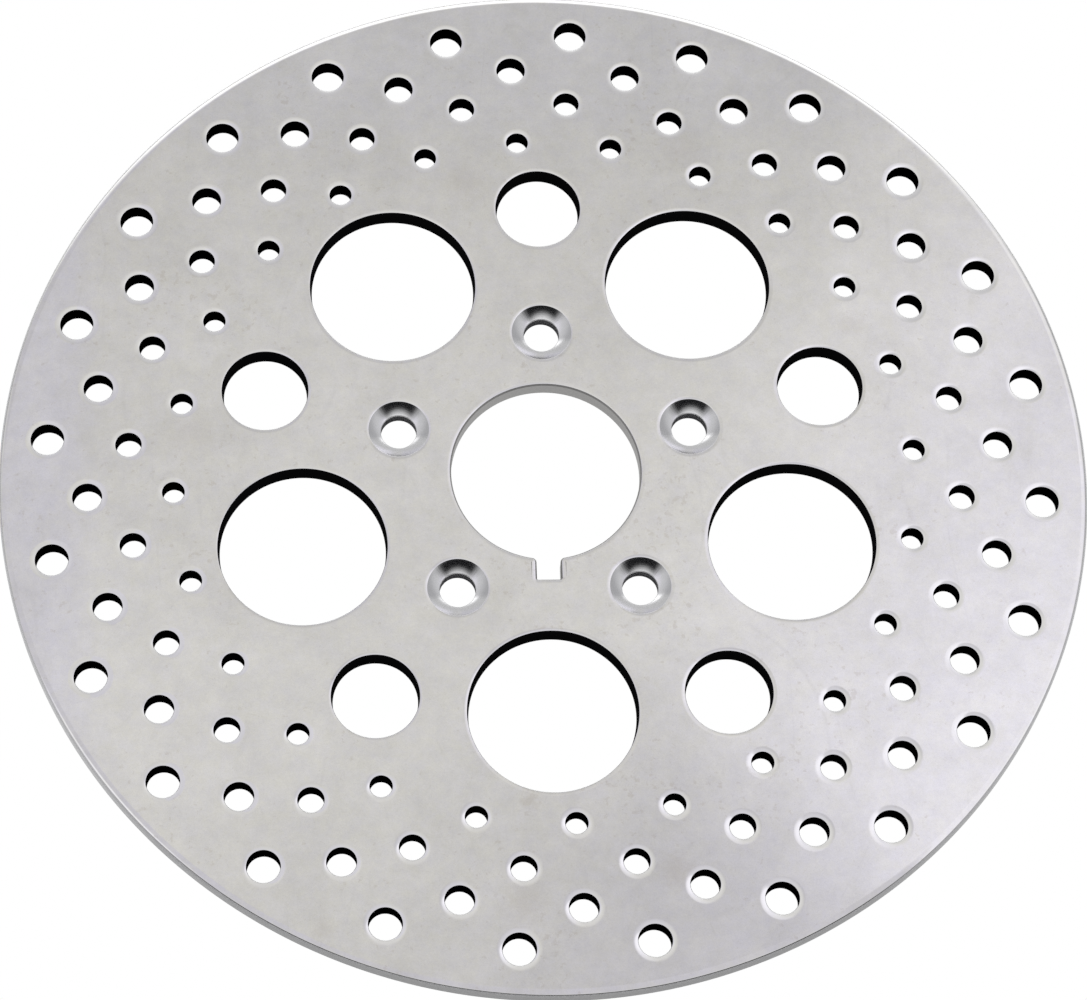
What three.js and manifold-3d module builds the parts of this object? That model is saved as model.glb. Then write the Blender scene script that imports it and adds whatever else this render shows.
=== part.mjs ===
// One-piece brake disc rotor for a motorcycle: a flat ring of stainless steel, drilled for cooling,
// lightened by round windows and bolted straight to the hub.
//
// Millimetres, +Z up. The origin is the centre of the bore at the hub-side face, so the disc lies
// flat on that face, its countersunk front faces +Z and the keyway notch points along -Y.
// Angles are in degrees, counter-clockwise from +X as seen from the front.

import * as THREE from 'three';
import { mergeGeometries, mergeVertices } from 'three/addons/utils/BufferGeometryUtils.js';
import Module from 'manifold-3d';

// Driving dimensions.
const DISC_RADIUS = 146.05;
const DISC_THICKNESS = 5.5;
const RIM_ROUND = 1.6;
const BORE_RADIUS = 25.4;
const KEYWAY = { width: 6.4, reach: 31.3, angle: 270 };
const BOLT_HOLES = {
  count: 5,
  ringRadius: 41.275,
  firstAngle: 90,
  radius: 4.8,
  countersinkRadius: 8.1,
  countersinkDepth: 2.1,
};
const LARGE_WINDOWS = { count: 5, ringRadius: 68.6, firstAngle: 270, radius: 22.5 };
const SMALL_WINDOWS = { count: 5, ringRadius: 79.0, firstAngle: 90, radius: 11.6 };

// The windows are cut from the front, and narrow by this much a side on their way to the back.
const WINDOW_TAPER = 0.4;

// The drilled holes sit in four rings at one pitch. Neighbouring rings are turned by half a pitch,
// so that the holes run out in slanting rows and grow towards the rim.
const DRILLED_PER_RING = 24;
const DRILLED_PITCH = 360 / DRILLED_PER_RING;
const DRILLED_FIRST_ANGLE = 3;
const DRILLED_RINGS = [
  { ringRadius: 99.7, radius: 2.95, turn: 0 },
  { ringRadius: 112.0, radius: 3.45, turn: DRILLED_PITCH / 2 },
  { ringRadius: 122.6, radius: 3.9, turn: 0 },
  { ringRadius: 133.7, radius: 4.4, turn: DRILLED_PITCH / 2 },
];

// Round outlines are polygons whose sides stay this close to the true circle.
const CHORD_ERROR = 0.1;

// Cutters start and end this far outside the faces.
const CUTTER_OVERRUN = 1;

const STEEL = { color: 0xc3c2bf, roughness: 0.32, metalness: 1 };

const wasm = await Module();
wasm.setup();

function segmentsFor(radius) {
  const halfStep = Math.acos(1 - CHORD_ERROR / radius);
  return 4 * Math.ceil(Math.PI / halfStep / 4);
}

// A solid of revolution about Z. Each profile point is [radius, height], from the bottom up.
function turned(profile) {
  const points = profile.map(([radius, height]) => new THREE.Vector2(radius, height));
  const largestRadius = Math.max(...profile.map(([radius]) => radius));
  const geometry = new THREE.LatheGeometry(points, segmentsFor(largestRadius));
  geometry.rotateX(Math.PI / 2);
  return geometry;
}

function roundCutter(radius) {
  return turned([
    [0, -CUTTER_OVERRUN],
    [radius, -CUTTER_OVERRUN],
    [radius, DISC_THICKNESS + CUTTER_OVERRUN],
    [0, DISC_THICKNESS + CUTTER_OVERRUN],
  ]);
}

// A window's radius is measured at the front face.
function windowCutter(radius) {
  const slope = WINDOW_TAPER / DISC_THICKNESS;
  const backRadius = radius - WINDOW_TAPER;
  return turned([
    [0, -CUTTER_OVERRUN],
    [backRadius - slope * CUTTER_OVERRUN, -CUTTER_OVERRUN],
    [radius + slope * CUTTER_OVERRUN, DISC_THICKNESS + CUTTER_OVERRUN],
    [0, DISC_THICKNESS + CUTTER_OVERRUN],
  ]);
}

// A bolt hole with its conical countersink in the front face. The cone carries on past the face at
// the same slope.
function countersunkCutter({ radius, countersinkRadius, countersinkDepth }) {
  const slope = (countersinkRadius - radius) / countersinkDepth;
  return turned([
    [0, -CUTTER_OVERRUN],
    [radius, -CUTTER_OVERRUN],
    [radius, DISC_THICKNESS - countersinkDepth],
    [countersinkRadius + slope * CUTTER_OVERRUN, DISC_THICKNESS + CUTTER_OVERRUN],
    [0, DISC_THICKNESS + CUTTER_OVERRUN],
  ]);
}

function keywayCutter({ width, reach, angle }) {
  const innerEnd = BORE_RADIUS / 2;
  const height = DISC_THICKNESS + 2 * CUTTER_OVERRUN;
  const geometry = new THREE.BoxGeometry(reach - innerEnd, width, height);
  geometry.translate((reach + innerEnd) / 2, 0, DISC_THICKNESS / 2);
  geometry.rotateZ(THREE.MathUtils.degToRad(angle));
  return geometry;
}

// Copies of one cutter, evenly spaced round a circle about Z.
function ringOf(cutter, { count, ringRadius, firstAngle }) {
  const copies = [];
  for (let i = 0; i < count; i += 1) {
    const angle = THREE.MathUtils.degToRad(firstAngle + (360 / count) * i);
    const copy = cutter.clone();
    copy.translate(ringRadius, 0, 0);
    copy.rotateZ(angle);
    copies.push(copy);
  }
  return copies;
}

function drilledRing({ ringRadius, radius, turn }) {
  const firstAngle = DRILLED_FIRST_ANGLE + turn;
  return ringOf(roundCutter(radius), { count: DRILLED_PER_RING, ringRadius, firstAngle });
}

function solidFrom(geometry) {
  const bare = geometry.clone();
  bare.deleteAttribute('normal');
  bare.deleteAttribute('uv');
  const merged = mergeVertices(bare, 1e-4);
  const mesh = new wasm.Mesh({
    numProp: 3,
    vertProperties: new Float32Array(merged.attributes.position.array),
    triVerts: new Uint32Array(merged.index.array),
  });
  return new wasm.Manifold(mesh);
}

function geometryFrom(solid) {
  const mesh = solid.getMesh();
  const geometry = new THREE.BufferGeometry();
  geometry.setAttribute('position', new THREE.BufferAttribute(mesh.vertProperties, 3));
  geometry.setIndex(new THREE.BufferAttribute(mesh.triVerts, 1));
  geometry.computeVertexNormals();
  return geometry;
}

// A quarter circle of radius RIM_ROUND about [centreRadius, centreHeight], in profile points.
function quarterRound(centreRadius, centreHeight, firstAngle) {
  const steps = segmentsFor(RIM_ROUND) / 4;
  const points = [];
  for (let i = 0; i <= steps; i += 1) {
    const angle = THREE.MathUtils.degToRad(firstAngle + (90 * i) / steps);
    const radius = centreRadius + RIM_ROUND * Math.cos(angle);
    const height = centreHeight + RIM_ROUND * Math.sin(angle);
    points.push([radius, height]);
  }
  return points;
}

// The blank is a plain disc with its two outer edges rounded.
function blank() {
  const flatRadius = DISC_RADIUS - RIM_ROUND;
  return turned([
    [0, 0],
    ...quarterRound(flatRadius, RIM_ROUND, -90),
    ...quarterRound(flatRadius, DISC_THICKNESS - RIM_ROUND, 0),
    [0, DISC_THICKNESS],
  ]);
}

function rotorDisc() {
  const bore = solidFrom(roundCutter(BORE_RADIUS)).add(solidFrom(keywayCutter(KEYWAY)));
  const holes = [
    ...ringOf(countersunkCutter(BOLT_HOLES), BOLT_HOLES),
    ...ringOf(windowCutter(LARGE_WINDOWS.radius), LARGE_WINDOWS),
    ...ringOf(windowCutter(SMALL_WINDOWS.radius), SMALL_WINDOWS),
    ...DRILLED_RINGS.flatMap(drilledRing),
  ];
  const cut = solidFrom(blank()).subtract(bore).subtract(solidFrom(mergeGeometries(holes)));
  const mesh = new THREE.Mesh(geometryFrom(cut), new THREE.MeshStandardMaterial(STEEL));
  mesh.name = 'rotor_disc';
  return mesh;
}

const rotor = new THREE.Group();
rotor.add(rotorDisc());

export default rotor;
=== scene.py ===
"""Looks of a one-piece motorcycle brake disc: a flat ground steel ring with countersunk bolt holes,
round windows and four rings of drilled cooling holes, lying on a plain pale floor.

Blender works in metres. The sizes below are in millimetres, and the first group repeats the CAD
part's driving dimensions. The disc's hub side is at z = 0, its countersunk front faces +Z and the
keyway notch points along -Y. Angles are in degrees, counter-clockwise from +X.
"""

import math

import bmesh
import bpy
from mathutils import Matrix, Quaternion, Vector


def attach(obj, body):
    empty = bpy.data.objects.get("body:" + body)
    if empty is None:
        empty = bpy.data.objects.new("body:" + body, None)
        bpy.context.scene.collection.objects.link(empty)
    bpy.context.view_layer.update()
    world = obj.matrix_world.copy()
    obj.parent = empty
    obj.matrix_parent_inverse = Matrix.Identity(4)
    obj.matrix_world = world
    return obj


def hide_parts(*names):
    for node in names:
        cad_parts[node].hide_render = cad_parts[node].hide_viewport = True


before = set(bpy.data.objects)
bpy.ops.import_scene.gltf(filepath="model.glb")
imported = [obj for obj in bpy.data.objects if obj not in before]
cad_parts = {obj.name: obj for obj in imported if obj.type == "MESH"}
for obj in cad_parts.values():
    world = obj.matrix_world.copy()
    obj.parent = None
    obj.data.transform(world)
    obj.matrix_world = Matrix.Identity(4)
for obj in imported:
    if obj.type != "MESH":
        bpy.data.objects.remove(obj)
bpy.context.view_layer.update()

MM = 0.001
WHITE = (1, 1, 1, 1)

# Driving dimensions, as in the CAD part.
DISC_RADIUS = 146.05
THICKNESS = 5.5
RIM_ROUND = 1.6
BORE_RADIUS = 25.4
KEYWAY_WIDTH = 6.4
KEYWAY_REACH = 31.3
BOLTS = {"count": 5, "ring": 41.275, "first": 90, "radius": 4.8}
LARGE_WINDOWS = {"count": 5, "ring": 68.6, "first": 270, "radius": 22.5}
SMALL_WINDOWS = {"count": 5, "ring": 79.0, "first": 90, "radius": 11.6}
WINDOW_TAPER = 0.4
DRILLED_PER_RING = 24
DRILLED_PITCH = 360 / DRILLED_PER_RING
DRILLED_FIRST = 3
DRILLED_RINGS = [
    {"ring": 99.7, "radius": 2.95, "turn": 0},
    {"ring": 112.0, "radius": 3.45, "turn": DRILLED_PITCH / 2},
    {"ring": 122.6, "radius": 3.9, "turn": 0},
    {"ring": 133.7, "radius": 4.4, "turn": DRILLED_PITCH / 2},
]
SINK_RADIUS = 8.1

# A countersink is a bowl, steeper at its lip, that drops into its hole over a small throat.
SINK_LIP_TILT = 38
SINK_LOW_TILT = 25
THROAT_RADIUS = 4.95

# Materials of the disc, in slot order.
FACE, HOLE_EDGE, DRILLED_EDGE, RIM, WINDOW_WALL, DRILLED_WALL, BORE_WALL, SINK, BOLT_WALL = range(9)

# Fine edges. Polishing has rolled the face down a little before every edge. The roll has the finish
# named here, and so has the rounding after it, up to the polished tilt. The rim's front edge is
# rounded less than the CAD part's.
EDGE_ROUND = 0.15
RIM_FRONT_ROUND = 1.0
HOLE_ROLL = {"width": 1.0, "tilt": 5.0, "finish": HOLE_EDGE}
DRILLED_ROLL = {"width": 1.5, "tilt": 5.0, "finish": DRILLED_EDGE}
RIM_ROLL = {"width": 1.4, "tilt": 14.0, "finish": FACE}
POLISHED_TILT = 34
BORE_CHAMFER = {"width": 0.3, "tilt": 50}
KEYWAY_MOUTH_ROUND = 1.3
KEYWAY_CORNER_ROUND = 0.35

# How finely the mesh is drawn: points round an outline, and steps along a profile.
RIM_POINTS = 512
BORE_POINTS = 240
MOUTH_POINTS = 8
CORNER_POINTS = 5
BOLT_POINTS = 96
LARGE_WINDOW_POINTS = 192
SMALL_WINDOW_POINTS = 128
DRILLED_POINTS = 64
ROLL_STEPS = 4
RIM_STEPS = 16
EDGE_STEPS = 5
LIP_STEPS = 4
CHAMFER_STEPS = 3
BOWL_STEPS = 16
THROAT_STEPS = 6

# Marks on the faces. Stains are (x, y, radius, strength from 0 to 1). Hairlines are (the angle at
# which a set of scratches runs, the place in the noise that it comes from).
STAINS = [
    (-20, 87, 10, 0.22),
    (40, 97, 9, 0.2),
    (-95, 11, 10, 0.2),
    (31, -113, 7, 0.35),
    (-9, -121, 9, 0.25),
    (-7, -93, 4, 0.4),
    (85, 43, 6, 0.2),
    (-60, -127, 5, 0.25),
]
HAIRLINES = [(20, 0), (75, 150), (-50, 340)]
ARC_SCRATCH = {"x": 33, "y": -79, "radius": 39, "first": -8, "last": 66, "fade": 10, "width": 0.9}

# The camera looks at a point close to the disc's centre, from the side of the keyway.
CAMERA_TARGET = (-0.87, -8.5, THICKNESS)
CAMERA_DISTANCE = 1094.5
CAMERA_AZIMUTH = -7.01
CAMERA_ELEVATION = 66.51
CAMERA_ROLL = 5.88
CAMERA_LENS = 135.57
SENSOR_WIDTH = 36.0

# The floor is a square, this far from its centre to its sides and this far below the disc.
FLOOR_REACH = 40000
FLOOR_GAP = 0.2

# Lighter and darker patches of the panel above the disc, as (across, up, radius, strength).
PANEL_PATCHES = [
    (-130, -80, 90, 0.083),
    (20, -135, 70, -0.07),
    (-40, -40, 110, 0.05),
    (160, 20, 60, -0.07),
    (140, -75, 40, 0.05),
    (235, 25, 115, -0.2),
]

# Round cards of light, as (direction, inner angle, outer angle, colour).
CARDS = [
    ((0.56, 0.10, 0.82), 3, 8, (1.3, 1.3, 1.34)),
    ((-0.47, 0.02, 0.88), 4, 11, (1.25, 1.25, 1.29)),
    ((-0.55, 0.40, 0.735), 5, 11, (0.82, 0.82, 0.83)),
]


# Outlines: closed lists of (x, y, nx, ny), counter-clockwise. The normal points into the metal.

def arc(cx, cy, radius, start, end, steps, side):
    """Points along an arc, with normals away from its centre (side 1) or towards it (side -1)."""
    points = []
    for i in range(steps + 1):
        angle = math.radians(start + (end - start) * i / steps)
        c, s = math.cos(angle), math.sin(angle)
        points.append((cx + radius * c, cy + radius * s, side * c, side * s))
    return points


def circle(cx, cy, radius, steps, side=1):
    return arc(cx, cy, radius, 0, 360, steps, side)[:-1]


def bore_outline():
    """The bore and its keyway, whose mouth and inner corners are rounded."""
    half = KEYWAY_WIDTH / 2
    mouth, corner = KEYWAY_MOUTH_ROUND, KEYWAY_CORNER_ROUND
    mouth_x = half + mouth
    mouth_y = -math.sqrt((BORE_RADIUS + mouth) ** 2 - mouth_x ** 2)
    meet = math.degrees(math.atan2(mouth_y, mouth_x))
    inner_y = -KEYWAY_REACH + corner
    bore = arc(0, 0, BORE_RADIUS, meet, 180 - meet, BORE_POINTS, 1)
    left_mouth = arc(-mouth_x, mouth_y, mouth, -meet, 0, MOUTH_POINTS, -1)
    left_corner = arc(-half + corner, inner_y, corner, 180, 270, CORNER_POINTS, 1)
    right_corner = arc(half - corner, inner_y, corner, 270, 360, CORNER_POINTS, 1)
    right_mouth = arc(mouth_x, mouth_y, mouth, 180, 180 + meet, MOUTH_POINTS, -1)
    return bore[1:-1] + left_mouth + left_corner + right_corner + right_mouth


def ring_centres(count, ring, first):
    """Places evenly spaced round a circle about Z."""
    for i in range(count):
        angle = math.radians(first + 360 / count * i)
        yield ring * math.cos(angle), ring * math.sin(angle)


# Profiles: lists of (offset, z, tilt, material), from the front face to the back. The offset goes
# into the metal from the outline, the tilt turns the surface from facing up (0) to facing down
# (180), and the material is that of the strip that ends at the point.

def rolled_edge(radius, roll, material, steps, first_offset=0.0, last_tilt=90.0):
    """From the flat face down the roll and round the edge, ending at last_tilt."""
    polished = roll["finish"]
    points = []
    first_turned, last_turned = math.radians(roll["tilt"]), math.radians(last_tilt)
    slope = math.tan(first_turned)
    edge_offset = first_offset + radius * (math.sin(last_turned) - math.sin(first_turned))
    for i in range(ROLL_STEPS + 1):
        way = i / ROLL_STEPS
        drop = slope * roll["width"] * way * way / 2
        tilt = math.degrees(math.atan(slope * way))
        points.append((edge_offset + roll["width"] * (1 - way), THICKNESS - drop, tilt, polished))
    edge_z = points[-1][1]
    for i in range(1, steps + 1):
        tilt = roll["tilt"] + (last_tilt - roll["tilt"]) * i / steps
        turned = math.radians(tilt)
        offset = first_offset + radius * (math.sin(last_turned) - math.sin(turned))
        z = edge_z - radius * (math.cos(first_turned) - math.cos(turned))
        points.append((offset, z, tilt, polished if tilt <= POLISHED_TILT else material))
    return points


def mirrored(points, material, taper=0.0):
    """The same edge at the back face, in the order from the wall to the face. A tapered hole is
    that much narrower a side there."""
    back = []
    for k, (offset, z, tilt, _) in enumerate(reversed(points)):
        strip = points[len(points) - k][3] if k else material
        back.append((offset - taper, THICKNESS - z, 180 - tilt, strip))
    return back


def wall_profile(roll, material, taper=0.0):
    """A plain hole's profile, with the same edge at both faces."""
    edge = rolled_edge(EDGE_ROUND, roll, material, EDGE_STEPS)
    return edge + mirrored(edge, material, taper)


def rim_profile():
    front = rolled_edge(RIM_FRONT_ROUND, RIM_ROLL, RIM, RIM_STEPS)
    back = rolled_edge(RIM_ROUND, RIM_ROLL, RIM, RIM_STEPS)
    return front + mirrored(back, RIM)


def bore_profile():
    """The bore's profile: its edges are chamfered."""
    tilt, width = BORE_CHAMFER["tilt"], BORE_CHAMFER["width"]
    chamfer_turned = math.radians(tilt)
    drop = width * math.tan(chamfer_turned)
    below = EDGE_ROUND * (1 - math.sin(chamfer_turned))
    edge = rolled_edge(EDGE_ROUND, HOLE_ROLL, BORE_WALL, CHAMFER_STEPS, width + below, tilt)
    z = edge[-1][1] - drop
    edge.append((below, z, tilt, BORE_WALL))
    for i in range(1, CHAMFER_STEPS + 1):
        turned = math.radians(tilt + (90 - tilt) * i / CHAMFER_STEPS)
        offset = EDGE_ROUND * (1 - math.sin(turned))
        fall = EDGE_ROUND * (math.cos(chamfer_turned) - math.cos(turned))
        edge.append((offset, z - fall, math.degrees(turned), BORE_WALL))
    return edge + mirrored(edge, BORE_WALL)


def sink_profile():
    """A bolt hole's profile: lip, bowl, throat, straight wall and back edge."""
    run = SINK_RADIUS - THROAT_RADIUS
    low = math.tan(math.radians(SINK_LOW_TILT))
    high = math.tan(math.radians(SINK_LIP_TILT))
    lip_offset = SINK_RADIUS - BOLTS["radius"]
    points = rolled_edge(EDGE_ROUND, HOLE_ROLL, SINK, LIP_STEPS, lip_offset, SINK_LIP_TILT)
    lip_z = points[-1][1]
    for i in range(1, BOWL_STEPS + 1):
        inward = i / BOWL_STEPS
        slope = high + (low - high) * inward
        offset = lip_offset - run * inward
        z = lip_z - run * inward * (high + slope) / 2
        points.append((offset, z, math.degrees(math.atan(slope)), SINK))
    bowl_z = points[-1][1]
    throat = THROAT_RADIUS - BOLTS["radius"]
    start = math.radians(SINK_LOW_TILT)
    throat_radius = throat / (1 - math.sin(start))
    for i in range(1, THROAT_STEPS + 1):
        turned = start + (math.pi / 2 - start) * i / THROAT_STEPS
        z = bowl_z - throat_radius * (math.cos(start) - math.cos(turned))
        offset = throat_radius * (1 - math.sin(turned))
        points.append((offset, z, math.degrees(turned), SINK))
    back = rolled_edge(EDGE_ROUND, HOLE_ROLL, BOLT_WALL, EDGE_STEPS)
    return points + mirrored(back, BOLT_WALL)


# The disc mesh.

class DiscMesh:
    """A rim and walls swept along profiles, with the two faces filled in between them."""

    def __init__(self):
        self.bm = bmesh.new()
        self.uv = self.bm.loops.layers.uv.new("sweep")
        self.normals = []
        self.front_edges = []
        self.back_edges = []

    def add_vertex(self, x, y, z, normal):
        self.normals.append(normal)
        return self.bm.verts.new((x * MM, y * MM, z * MM))

    def sweep(self, outline, profile, is_hole=True):
        """A wall round an outline. Its ends stay open, for the faces to be filled between them."""
        rings = []
        for offset, z, tilt, _ in profile:
            c, s = math.cos(math.radians(tilt)), math.sin(math.radians(tilt))
            ring = []
            for x, y, nx, ny in outline:
                normal = (-nx * s, -ny * s, c)
                ring.append(self.add_vertex(x + nx * offset, y + ny * offset, z, normal))
            rings.append(ring)
        along = [0.0]
        for i, point in enumerate(outline):
            following = outline[(i + 1) % len(outline)]
            along.append(along[-1] + math.dist(point[:2], following[:2]))
        across = [0.0]
        for before, after in zip(profile, profile[1:]):
            across.append(across[-1] + math.dist(before[:2], after[:2]))
        count = len(outline)
        for k in range(1, len(rings)):
            for i in range(count):
                corners = [(i, k - 1), (i, k), (i + 1, k), (i + 1, k - 1)]
                if is_hole:
                    corners.reverse()
                face = self.bm.faces.new([rings[b][a % count] for a, b in corners])
                face.material_index = profile[k][3]
                for loop, (a, b) in zip(face.loops, corners):
                    loop[self.uv].uv = (along[a], across[b])
        for ring, edges in ((rings[0], self.front_edges), (rings[-1], self.back_edges)):
            for i in range(count):
                edges.append(self.bm.edges.get((ring[i], ring[(i + 1) % count])))

    def fill(self, edges, up):
        """One flat face, between the open ends of the rim and the walls."""
        made = bmesh.ops.triangle_fill(self.bm, use_beauty=True, edges=edges)
        for item in made["geom"]:
            if isinstance(item, bmesh.types.BMFace):
                item.normal_update()
                if (item.normal.z > 0) != up:
                    item.normal_flip()
                item.material_index = FACE
                for loop in item.loops:
                    loop[self.uv].uv = (loop.vert.co.x / MM, loop.vert.co.y / MM)

    def finish(self, name):
        self.fill(self.front_edges, True)
        self.fill(self.back_edges, False)
        self.bm.normal_update()
        mesh = bpy.data.meshes.new(name)
        self.bm.to_mesh(mesh)
        self.bm.free()
        mesh.polygons.foreach_set("use_smooth", [True] * len(mesh.polygons))
        mesh.normals_split_custom_set_from_vertices(self.normals)
        made = bpy.data.objects.new(name, mesh)
        bpy.context.scene.collection.objects.link(made)
        return made


def build_disc():
    disc = DiscMesh()
    disc.sweep(circle(0, 0, DISC_RADIUS, RIM_POINTS, -1), rim_profile(), is_hole=False)
    disc.sweep(bore_outline(), bore_profile())
    for x, y in ring_centres(BOLTS["count"], BOLTS["ring"], BOLTS["first"]):
        disc.sweep(circle(x, y, BOLTS["radius"], BOLT_POINTS), sink_profile())
    window_profile = wall_profile(HOLE_ROLL, WINDOW_WALL, WINDOW_TAPER)
    for windows, points in ((LARGE_WINDOWS, LARGE_WINDOW_POINTS), (SMALL_WINDOWS, SMALL_WINDOW_POINTS)):
        for x, y in ring_centres(windows["count"], windows["ring"], windows["first"]):
            disc.sweep(circle(x, y, windows["radius"], points), window_profile)
    drilled_profile = wall_profile(DRILLED_ROLL, DRILLED_WALL)
    for drilled in DRILLED_RINGS:
        first = DRILLED_FIRST + drilled["turn"]
        for x, y in ring_centres(DRILLED_PER_RING, drilled["ring"], first):
            disc.sweep(circle(x, y, drilled["radius"], DRILLED_POINTS), drilled_profile)
    return disc.finish("rotor_disc_surface")


# Shader nodes.

def put(tree, kind, inputs=None, **properties):
    """A new node. An input is linked if its value is a socket, and otherwise set."""
    node = tree.nodes.new(kind)
    for name, value in properties.items():
        setattr(node, name, value)
    for key, value in (inputs or {}).items():
        if isinstance(value, bpy.types.NodeSocket):
            tree.links.new(value, node.inputs[key])
        else:
            node.inputs[key].default_value = value
    return node


def maths(tree, operation, *values):
    inputs = dict(enumerate(values))
    return put(tree, "ShaderNodeMath", inputs, operation=operation).outputs[0]


def step(tree, value, low, high, start=0.0, end=1.0):
    """A smooth step of value, from start at low to end at high."""
    inputs = {"Value": value, "From Min": low, "From Max": high, "To Min": start, "To Max": end}
    return put(tree, "ShaderNodeMapRange", inputs, interpolation_type="SMOOTHSTEP").outputs[0]


def mix(tree, factor, a, b, blend="MIX"):
    """A colour between a and b. Each is a socket or three numbers."""
    node = put(tree, "ShaderNodeMix", data_type="RGBA", blend_type=blend)
    for key, value in ((0, factor), (6, a), (7, b)):
        if isinstance(value, bpy.types.NodeSocket):
            tree.links.new(value, node.inputs[key])
        elif key:
            node.inputs[key].default_value = (*value, 1.0)
        else:
            node.inputs[key].default_value = value
    return node.outputs[2]


def noise(tree, vector, scale, detail=2.0, roughness=0.5):
    """A noise from 0 to 1. The greater its scale, the finer it is."""
    inputs = {"Vector": vector, "Scale": scale, "Detail": detail, "Roughness": roughness}
    return put(tree, "ShaderNodeTexNoise", inputs).outputs["Fac"]


def mapped(tree, vector, scale=(1, 1, 1), rotation=0.0, shift=(0, 0, 0)):
    """The vector scaled, turned about Z and shifted, in that order."""
    inputs = {
        "Vector": vector,
        "Scale": scale,
        "Rotation": (0, 0, math.radians(rotation)),
        "Location": shift,
    }
    return put(tree, "ShaderNodeMapping", inputs).outputs[0]


def grey(tree, value):
    return put(tree, "ShaderNodeCombineColor", {0: value, 1: value, 2: value}).outputs[0]


def new_material(name):
    material = bpy.data.materials.new(name)
    material.use_nodes = True
    tree = material.node_tree
    tree.nodes.clear()
    output = put(tree, "ShaderNodeOutputMaterial")
    shader = put(tree, "ShaderNodeBsdfPrincipled")
    tree.links.new(shader.outputs[0], output.inputs["Surface"])
    return material, tree, shader


def dress(tree, shader, colour, roughness, height, depth, metallic=1.0, specular=0.5):
    """The surface's colour, roughness and bump, whose depth is in millimetres."""
    tree.links.new(colour, shader.inputs["Base Color"])
    tree.links.new(roughness, shader.inputs["Roughness"])
    relief = {"Height": height, "Distance": depth * MM, "Strength": 1.0}
    bump = put(tree, "ShaderNodeBump", relief)
    tree.links.new(bump.outputs[0], shader.inputs["Normal"])
    shader.inputs["Metallic"].default_value = metallic
    shader.inputs["Specular IOR Level"].default_value = specular


def object_millimetres(tree):
    """Object coordinates in millimetres."""
    coordinates = put(tree, "ShaderNodeTexCoord").outputs["Object"]
    return mapped(tree, coordinates, scale=(1 / MM, 1 / MM, 1 / MM))


def sweep_millimetres(tree):
    """Along a wall's outline (x) and across it (y), in millimetres."""
    return put(tree, "ShaderNodeUVMap", uv_map="sweep").outputs[0]


def ground_face(name, roll=None):
    """Ground and polished stainless steel, with clouding, brown stains and hairline scratches.
    Given a roll, it is lighter too, at the front more and more towards the edge, and at the back
    all over. At the drilled holes that is burnish from deburring, all round. At the other openings
    it is a painted highlight, and only on the far side, where the edge leans towards -Y."""
    steel, brown, burnish_and_highlight_colour = (0.68, 0.678, 0.672), (0.5, 0.465, 0.42), (0.78, 0.78, 0.78)
    warm, cool = (1.014, 1.008, 0.979), (0.992, 0.988, 1.022)
    material, tree, shader = new_material(name)
    place = object_millimetres(tree)
    grain = noise(tree, place, 0.55, 3.0, 0.6)
    mottle = noise(tree, place, 0.11, 7.0, 0.9)
    hue = noise(tree, mapped(tree, place, shift=(80, 30, 0)), 0.22, 4.0, 0.85)
    clouds = noise(tree, mapped(tree, place, shift=(-40, 60, 0)), 0.045, 3.0, 0.6)
    dust = noise(tree, place, 2.2, 2.0, 0.7)
    tone = maths(tree, "MULTIPLY_ADD", mottle, 0.42, -0.38)
    tone = maths(tree, "MULTIPLY_ADD", clouds, 0.2, tone)
    tone = maths(tree, "MULTIPLY_ADD", dust, 0.14, tone)

    warp = maths(tree, "MULTIPLY_ADD", grain, 8.0, -4.0)
    stain = specks(tree, place)
    for x, y, radius, strength in STAINS:
        away = maths(tree, "ADD", distance_to(tree, place, x, y), warp)
        stain = maths(tree, "MAXIMUM", stain, step(tree, away, radius, 0, 0.0, strength))
    marks = maths(tree, "MAXIMUM", hairlines(tree, place), arc_scratch(tree, place))
    tone = maths(tree, "SUBTRACT", tone, maths(tree, "MULTIPLY", marks, 0.05))
    bright = maths(tree, "ADD", tone, 1.0)

    colour = mix(tree, 1.0, steel, grey(tree, bright), "MULTIPLY")
    colour = mix(tree, 1.0, colour, mix(tree, step(tree, hue, 0.3, 0.7), warm, cool), "MULTIPLY")
    colour = mix(tree, stain, colour, brown)
    if roll:
        sweep = put(tree, "ShaderNodeSeparateXYZ", {0: sweep_millimetres(tree)})
        burnish_and_highlight_mask = step(tree, sweep.outputs[1], 0.0, roll["width"])
        # At openings other than the drilled holes the lighter colour is a painted highlight, kept to
        # where the edge leans towards -Y.
        if roll is HOLE_ROLL:
            normal = put(tree, "ShaderNodeTexCoord").outputs["Normal"]
            highlight_lean = put(tree, "ShaderNodeSeparateXYZ", {0: normal}).outputs[1]
            burnish_and_highlight_mask = maths(tree, "MULTIPLY", burnish_and_highlight_mask, step(tree, highlight_lean, -0.03, -0.07))
        colour = mix(tree, burnish_and_highlight_mask, colour, burnish_and_highlight_colour)

    roughness = maths(tree, "MULTIPLY_ADD", grain, 0.03, 0.03)
    roughness = maths(tree, "MULTIPLY_ADD", stain, 0.05, roughness)
    height = maths(tree, "SUBTRACT", grain, marks)
    dress(tree, shader, colour, roughness, height, depth=0.0002)
    return material


def distance_to(tree, place, x, y):
    """Distance across the face, in millimetres."""
    flat = mapped(tree, place, scale=(1, 1, 0), shift=(-x, -y, 0))
    return put(tree, "ShaderNodeVectorMath", {0: flat}, operation="LENGTH").outputs["Value"]


def specks(tree, place):
    """Small brown specks that gather in places."""
    fine = noise(tree, place, 0.5, 3.0, 0.65)
    crowd = noise(tree, mapped(tree, place, shift=(17, 5, 0)), 0.03, 2.0)
    return step(tree, maths(tree, "MULTIPLY_ADD", crowd, 0.35, fine), 0.80, 0.90, 0.0, 0.35)


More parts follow.
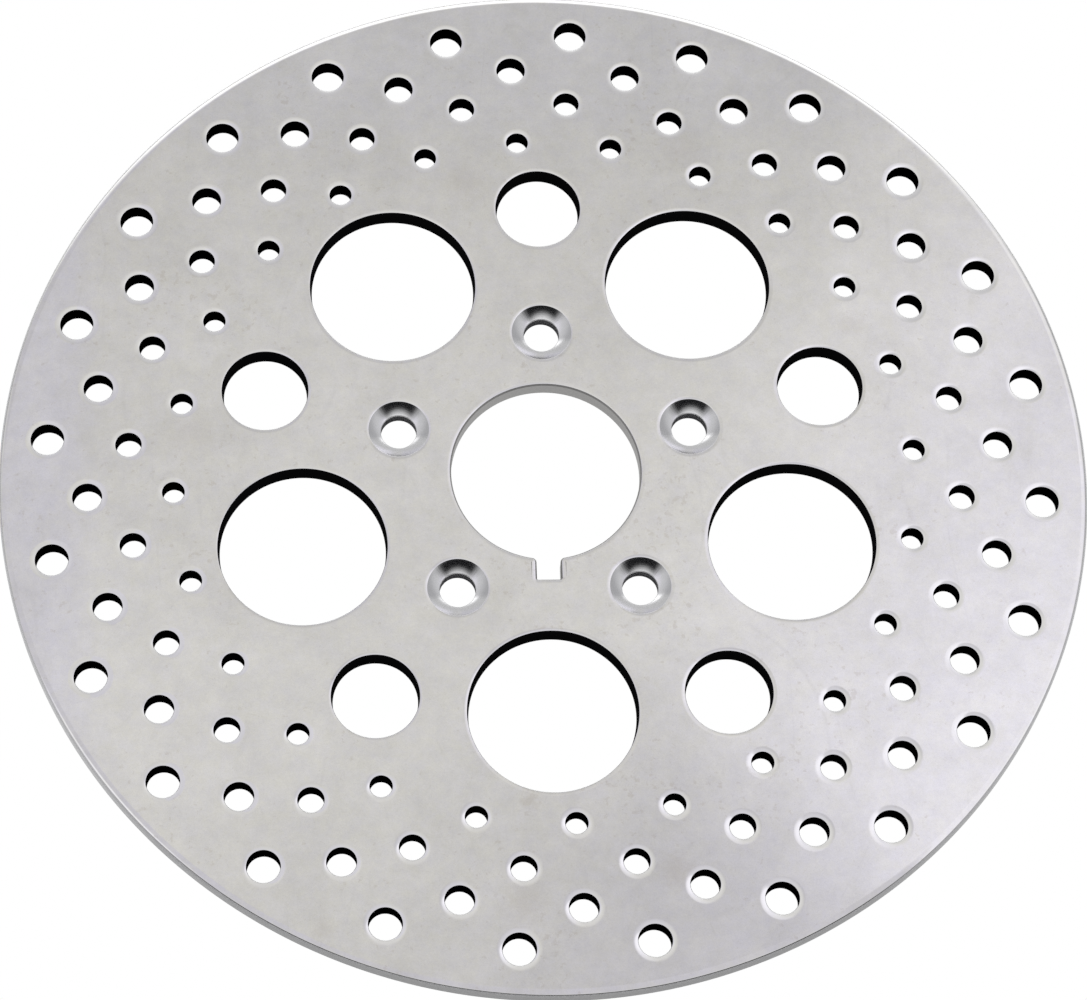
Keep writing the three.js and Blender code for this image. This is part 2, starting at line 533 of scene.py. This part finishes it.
def hairlines(tree, place):
    """Long, fine, curved scratches: the contour lines of slow noises, broken up."""
    lines = None
    for turn, where in HAIRLINES:
        stretched = mapped(tree, place, (1, 0.35, 0), turn, (where, -where, 0))
        field = noise(tree, stretched, 0.03, 1.0, 0.4)
        off = maths(tree, "ABSOLUTE", maths(tree, "SUBTRACT", field, 0.5))
        contour = step(tree, off, 0.007, 0.001)
        patches = noise(tree, mapped(tree, place, shift=(where, where, 0)), 0.035, 2.0)
        line = maths(tree, "MULTIPLY", contour, step(tree, patches, 0.5, 0.62, 0.0, 0.6))
        lines = line if lines is None else maths(tree, "MAXIMUM", lines, line)
    return lines


def arc_scratch(tree, place):
    """One long curved scratch, past a small window."""
    mark = ARC_SCRATCH
    off = maths(tree, "SUBTRACT", distance_to(tree, place, mark["x"], mark["y"]), mark["radius"])
    line = step(tree, maths(tree, "ABSOLUTE", off), mark["width"], 0.0)
    about_centre = mapped(tree, place, shift=(-mark["x"], -mark["y"], 0))
    local = put(tree, "ShaderNodeSeparateXYZ", {0: about_centre})
    angle = maths(tree, "ARCTAN2", local.outputs[1], local.outputs[0])
    first, last, fade = (math.radians(mark[key]) for key in ("first", "last", "fade"))
    begun = step(tree, angle, first, first + fade)
    unfinished = step(tree, angle, last, last - fade)
    return maths(tree, "MULTIPLY", line, maths(tree, "MULTIPLY", begun, unfinished))


def turned_rim():
    """The rim, turned and lightly belted: duller than the face, with fine lines round it."""
    material, tree, shader = new_material("turned_steel_rim")
    sweep = sweep_millimetres(tree)
    lines = noise(tree, mapped(tree, sweep, scale=(0.05, 6, 1)), 1.0, 3.0)
    spots = noise(tree, sweep, 0.8, 3.0)
    colour = mix(tree, spots, (0.72, 0.72, 0.725), (0.86, 0.86, 0.865))
    roughness = maths(tree, "MULTIPLY_ADD", lines, 0.12, 0.46)
    dress(tree, shader, colour, roughness, lines, depth=0.004)
    return material


def turned_bore():
    """The bored wall, with fine tool lines round it."""
    material, tree, shader = new_material("turned_steel_bore")
    sweep = sweep_millimetres(tree)
    lines = noise(tree, mapped(tree, sweep, scale=(0.06, 5, 1)), 1.0, 3.0)
    spots = noise(tree, sweep, 1.2, 4.0, 0.6)
    colour = mix(tree, spots, (0.34, 0.335, 0.33), (0.46, 0.455, 0.445))
    roughness = maths(tree, "MULTIPLY_ADD", lines, 0.12, 0.3)
    dress(tree, shader, colour, roughness, lines, depth=0.005)
    return material


def countersink_metal():
    """The bowl that a tapered cutter leaves, with rings of tool marks and small nicks."""
    material, tree, shader = new_material("cut_steel_countersink")
    sweep = sweep_millimetres(tree)
    rings = noise(tree, mapped(tree, sweep, scale=(0.12, 4, 1)), 1.0, 3.0, 0.6)
    chatter = noise(tree, mapped(tree, sweep, scale=(2.2, 0.25, 1)), 1.0, 3.0, 0.6)
    nicks = noise(tree, sweep, 1.1, 4.0, 0.6)
    colour = mix(tree, nicks, (0.76, 0.76, 0.77), (0.84, 0.84, 0.85))
    height = maths(tree, "MULTIPLY_ADD", chatter, 2.5, rings)
    roughness = maths(tree, "MULTIPLY_ADD", rings, 0.1, 0.1)
    dress(tree, shader, colour, roughness, height, depth=0.006)
    return material


def oxide_wall(name, dark, light, speckle_low, speckle_high):
    """A cut wall left with its dark scale, streaked across by the cut. It is speckled with lighter
    metal where a noise rises past the two speckle levels."""
    material, tree, shader = new_material(name)
    sweep = sweep_millimetres(tree)
    streaks = noise(tree, mapped(tree, sweep, scale=(3.0, 0.3, 1)), 1.0, 3.0)
    specks = noise(tree, sweep, 2.5, 4.0, 0.7)
    bare = step(tree, specks, speckle_low, speckle_high)
    colour = mix(tree, bare, dark, light)
    roughness = maths(tree, "MULTIPLY_ADD", streaks, 0.2, 0.45)
    dress(tree, shader, colour, roughness, streaks, depth=0.01, metallic=0.0, specular=0.0)
    return material


def window_wall():
    return oxide_wall("scaled_window_wall", (0.007, 0.007, 0.0075), (0.04, 0.04, 0.043), 0.60, 0.75)


def drilled_wall():
    # The scale's own dark colour, made darker than in the windows as painted shade inside the narrow
    # holes.
    dark, light = (0.0006, 0.0006, 0.0006), (0.006, 0.006, 0.006)
    return oxide_wall("scaled_drilled_wall_painted_shade", dark, light, 0.62, 0.8)


def bolt_wall():
    return oxide_wall("scaled_bolt_hole_wall", (0.11, 0.11, 0.112), (0.40, 0.40, 0.41), 0.45, 0.65)


# The studio: world, floor and camera.

def studio_world():
    """Light from all round, for the disc. The camera itself sees a plain white world."""
    world = bpy.data.worlds.new("studio")
    bpy.context.scene.world = world
    world.use_nodes = True
    tree = world.node_tree
    tree.nodes.clear()
    direction = put(tree, "ShaderNodeTexCoord").outputs["Generated"]
    x, y, z = put(tree, "ShaderNodeSeparateXYZ", {0: direction}).outputs
    light = panel_above(tree, x, y, z)
    light = sides_and_back(tree, light, y, z)
    for toward, inner, outer, colour in CARDS:
        light = card(tree, light, direction, toward, inner, outer, colour)
    light = front(tree, light, y, z)

    studio = put(tree, "ShaderNodeBackground", {"Color": light, "Strength": 1.0})
    plain = put(tree, "ShaderNodeBackground", {"Color": WHITE, "Strength": 1.0})
    seen = put(tree, "ShaderNodeLightPath").outputs["Is Camera Ray"]
    both = put(tree, "ShaderNodeMixShader", {0: seen, 1: studio.outputs[0], 2: plain.outputs[0]})
    output = put(tree, "ShaderNodeOutputWorld")
    tree.links.new(both.outputs[0], output.inputs["Surface"])


def panel_above(tree, x, y, z):
    """The panel over the disc. The face is a mirror, so the panel is set out by the point of the
    face that shows it to the camera: across and up are that point's x and y in millimetres."""
    lens = camera_place()
    height = lens.z / MM - THICKNESS
    rise = maths(tree, "MAXIMUM", z, 0.2)
    across = maths(tree, "MULTIPLY_ADD", maths(tree, "DIVIDE", x, rise), height, lens.x / MM)
    up = maths(tree, "MULTIPLY_ADD", maths(tree, "DIVIDE", y, rise), height, lens.y / MM)
    slant = maths(tree, "MULTIPLY_ADD", up, -0.6, across)
    level = panel_level(tree, across, up, slant)
    tint = panel_tint(tree, across, up, slant)
    return mix(tree, 1.0, tint, grey(tree, level), "MULTIPLY")


def panel_level(tree, across, up, slant):
    """Brighter to the right beyond a soft slanting edge, with patches, and dimmer far to the right
    and at the top."""
    edge_across = maths(tree, "MULTIPLY", across, 0.73)
    edge_up = maths(tree, "MULTIPLY", up, 0.68)
    edge = maths(tree, "ADD", edge_across, edge_up)
    gain = maths(tree, "MAXIMUM", maths(tree, "MULTIPLY", slant, 0.002), 0.0)
    gain = maths(tree, "MINIMUM", gain, 0.4)
    gain = maths(tree, "MULTIPLY", gain, step(tree, edge, -45, 5))
    level = maths(tree, "ADD", gain, 0.82)
    for x, y, radius, strength in PANEL_PATCHES:
        level = maths(tree, "ADD", level, blob(tree, across, up, x, y, radius, strength))
    level = maths(tree, "ADD", level, step(tree, across, 600, 900, 0.0, -0.5))
    return maths(tree, "ADD", level, step(tree, up, 40, 100, 0.0, -0.083))


def panel_tint(tree, across, up, slant):
    """Warm to the upper left and cool to the lower right, with a neutral strip along the top and a
    cool one along the left."""
    warm, cool = (1.018, 1.004, 0.982), (0.985, 0.968, 1.03)
    tint = mix(tree, step(tree, slant, 20, 150), warm, cool)
    tint = mix(tree, step(tree, up, 102.5, 105.5), tint, (1.0, 0.99, 1.006))
    left_edge = maths(tree, "MULTIPLY_ADD", up, 0.015, across)
    return mix(tree, step(tree, left_edge, -121.5, -124.5), tint, (0.99, 0.975, 1.035))


def sides_and_back(tree, light, y, z):
    """Grey sides below the panel, and behind the disc a bright wall that is dimmer low down."""
    side = mix(tree, step(tree, z, 0.60, 0.27), (0.66, 0.66, 0.67), (0.44, 0.44, 0.45))
    light = mix(tree, step(tree, z, 0.72, 0.60), light, side)
    behind = maths(tree, "MULTIPLY", step(tree, z, 0.86, 0.76), step(tree, z, -0.02, 0.06))
    behind = maths(tree, "MULTIPLY", behind, step(tree, y, 0.56, 0.76))
    white = mix(tree, step(tree, z, 0.45, 0.32), (1.75, 1.75, 1.75), (0.60, 0.60, 0.60))
    return mix(tree, behind, light, white)


def front(tree, light, y, z):
    """In front of the disc: a pale band high up, then black, and grey low down."""
    level_square = maths(tree, "SUBTRACT", 1.0, maths(tree, "MULTIPLY", z, z))
    level_part = maths(tree, "SQRT", maths(tree, "MAXIMUM", level_square, 0.01))
    frontward = maths(tree, "DIVIDE", maths(tree, "MULTIPLY", y, -1.0), level_part)
    band = maths(tree, "MULTIPLY", step(tree, frontward, 0.2, 0.6), step(tree, z, 0.97, 0.90))
    light = mix(tree, band, light, (0.98, 0.98, 0.98))
    below = maths(tree, "MULTIPLY", step(tree, frontward, 0.1, 0.7), step(tree, z, 0.94, 0.73))
    dark = mix(tree, step(tree, z, 0.55, 0.42), (0.004, 0.004, 0.005), (0.45, 0.45, 0.455))
    return mix(tree, below, light, dark)


def blob(tree, across, up, x, y, radius, strength):
    """A soft round patch at (x, y), of the given strength at its middle."""
    dx = maths(tree, "SUBTRACT", across, x)
    dy = maths(tree, "SUBTRACT", up, y)
    squares = maths(tree, "ADD", maths(tree, "MULTIPLY", dx, dx), maths(tree, "MULTIPLY", dy, dy))
    distance = maths(tree, "SQRT", squares)
    return step(tree, distance, radius, 0, 0.0, strength)


def card(tree, behind, direction, toward, inner, outer, colour):
    """A round soft-edged card of light in front of what is behind it."""
    axis = Vector(toward).normalized()
    dot = put(tree, "ShaderNodeVectorMath", {0: direction, 1: axis}, operation="DOT_PRODUCT")
    facing = dot.outputs["Value"]
    cover = step(tree, facing, math.cos(math.radians(outer)), math.cos(math.radians(inner)))
    return mix(tree, cover, behind, colour)


def studio_floor():
    """A wide pale floor. The camera sees it plain white. Mirrored in the steel it is grey, darker
    in front of the disc and brighter behind, and to all other light it is matt grey."""
    mesh = bpy.data.meshes.new("floor")
    shape = bmesh.new()
    bmesh.ops.create_grid(shape, x_segments=1, y_segments=1, size=FLOOR_REACH * MM)
    shape.to_mesh(mesh)
    shape.free()
    floor = bpy.data.objects.new("floor", mesh)
    floor.location.z = -FLOOR_GAP * MM
    bpy.context.scene.collection.objects.link(floor)
    material = bpy.data.materials.new("pale_floor")
    material.use_nodes = True
    tree = material.node_tree
    tree.nodes.clear()
    matt = put(tree, "ShaderNodeBsdfDiffuse", {"Color": (0.5, 0.5, 0.5, 1)})
    plain = put(tree, "ShaderNodeEmission", {"Color": WHITE, "Strength": 1.0})
    place_y = put(tree, "ShaderNodeSeparateXYZ", {0: object_millimetres(tree)}).outputs[1]
    level_in_front = step(tree, place_y, -60, -150, 0.74, 0.40)
    is_behind = step(tree, place_y, 60, 150)
    level = maths(tree, "MULTIPLY_ADD", is_behind, 0.9, level_in_front)
    mirrored_floor = put(tree, "ShaderNodeEmission", {"Color": WHITE, "Strength": level})
    path = put(tree, "ShaderNodeLightPath").outputs
    unseen = {0: path["Is Glossy Ray"], 1: matt.outputs[0], 2: mirrored_floor.outputs[0]}
    lit = put(tree, "ShaderNodeMixShader", unseen)
    seen = {0: path["Is Camera Ray"], 1: lit.outputs[0], 2: plain.outputs[0]}
    both = put(tree, "ShaderNodeMixShader", seen)
    output = put(tree, "ShaderNodeOutputMaterial")
    tree.links.new(both.outputs[0], output.inputs["Surface"])
    mesh.materials.append(material)


def camera_back():
    """The direction from the camera's target to the camera."""
    azimuth, elevation = math.radians(CAMERA_AZIMUTH), math.radians(CAMERA_ELEVATION)
    level = math.cos(elevation)
    return Vector((math.sin(azimuth) * level, -math.cos(azimuth) * level, math.sin(elevation)))


def camera_place():
    """The camera's place, in metres."""
    return (Vector(CAMERA_TARGET) + camera_back() * CAMERA_DISTANCE) * MM


def studio_camera():
    data = bpy.data.cameras.new("camera")
    data.lens = CAMERA_LENS
    data.sensor_width = SENSOR_WIDTH
    data.clip_start = 0.05
    data.clip_end = 200.0
    camera = bpy.data.objects.new("camera", data)
    camera.location = camera_place()
    camera.rotation_mode = "QUATERNION"
    level = (-camera_back()).to_track_quat("-Z", "Y")
    camera.rotation_quaternion = level @ Quaternion((0, 0, 1), math.radians(CAMERA_ROLL))
    bpy.context.scene.collection.objects.link(camera)
    bpy.context.scene.camera = camera


studio_camera()
studio_world()
studio_floor()

disc = build_disc()
disc_materials = {
    FACE: ground_face("ground_steel_face"),
    # The hole edges carry a painted highlight on their far side.
    HOLE_EDGE: ground_face("hole_edge_painted_highlight", HOLE_ROLL),
    DRILLED_EDGE: ground_face("burnished_drilled_edge", DRILLED_ROLL),
    RIM: turned_rim(),
    WINDOW_WALL: window_wall(),
    DRILLED_WALL: drilled_wall(),
    BORE_WALL: turned_bore(),
    SINK: countersink_metal(),
    BOLT_WALL: bolt_wall(),
}
for index in sorted(disc_materials):
    disc.data.materials.append(disc_materials[index])
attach(disc, "root")
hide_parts("rotor_disc")

bpy.context.scene.view_settings.view_transform = "Standard"
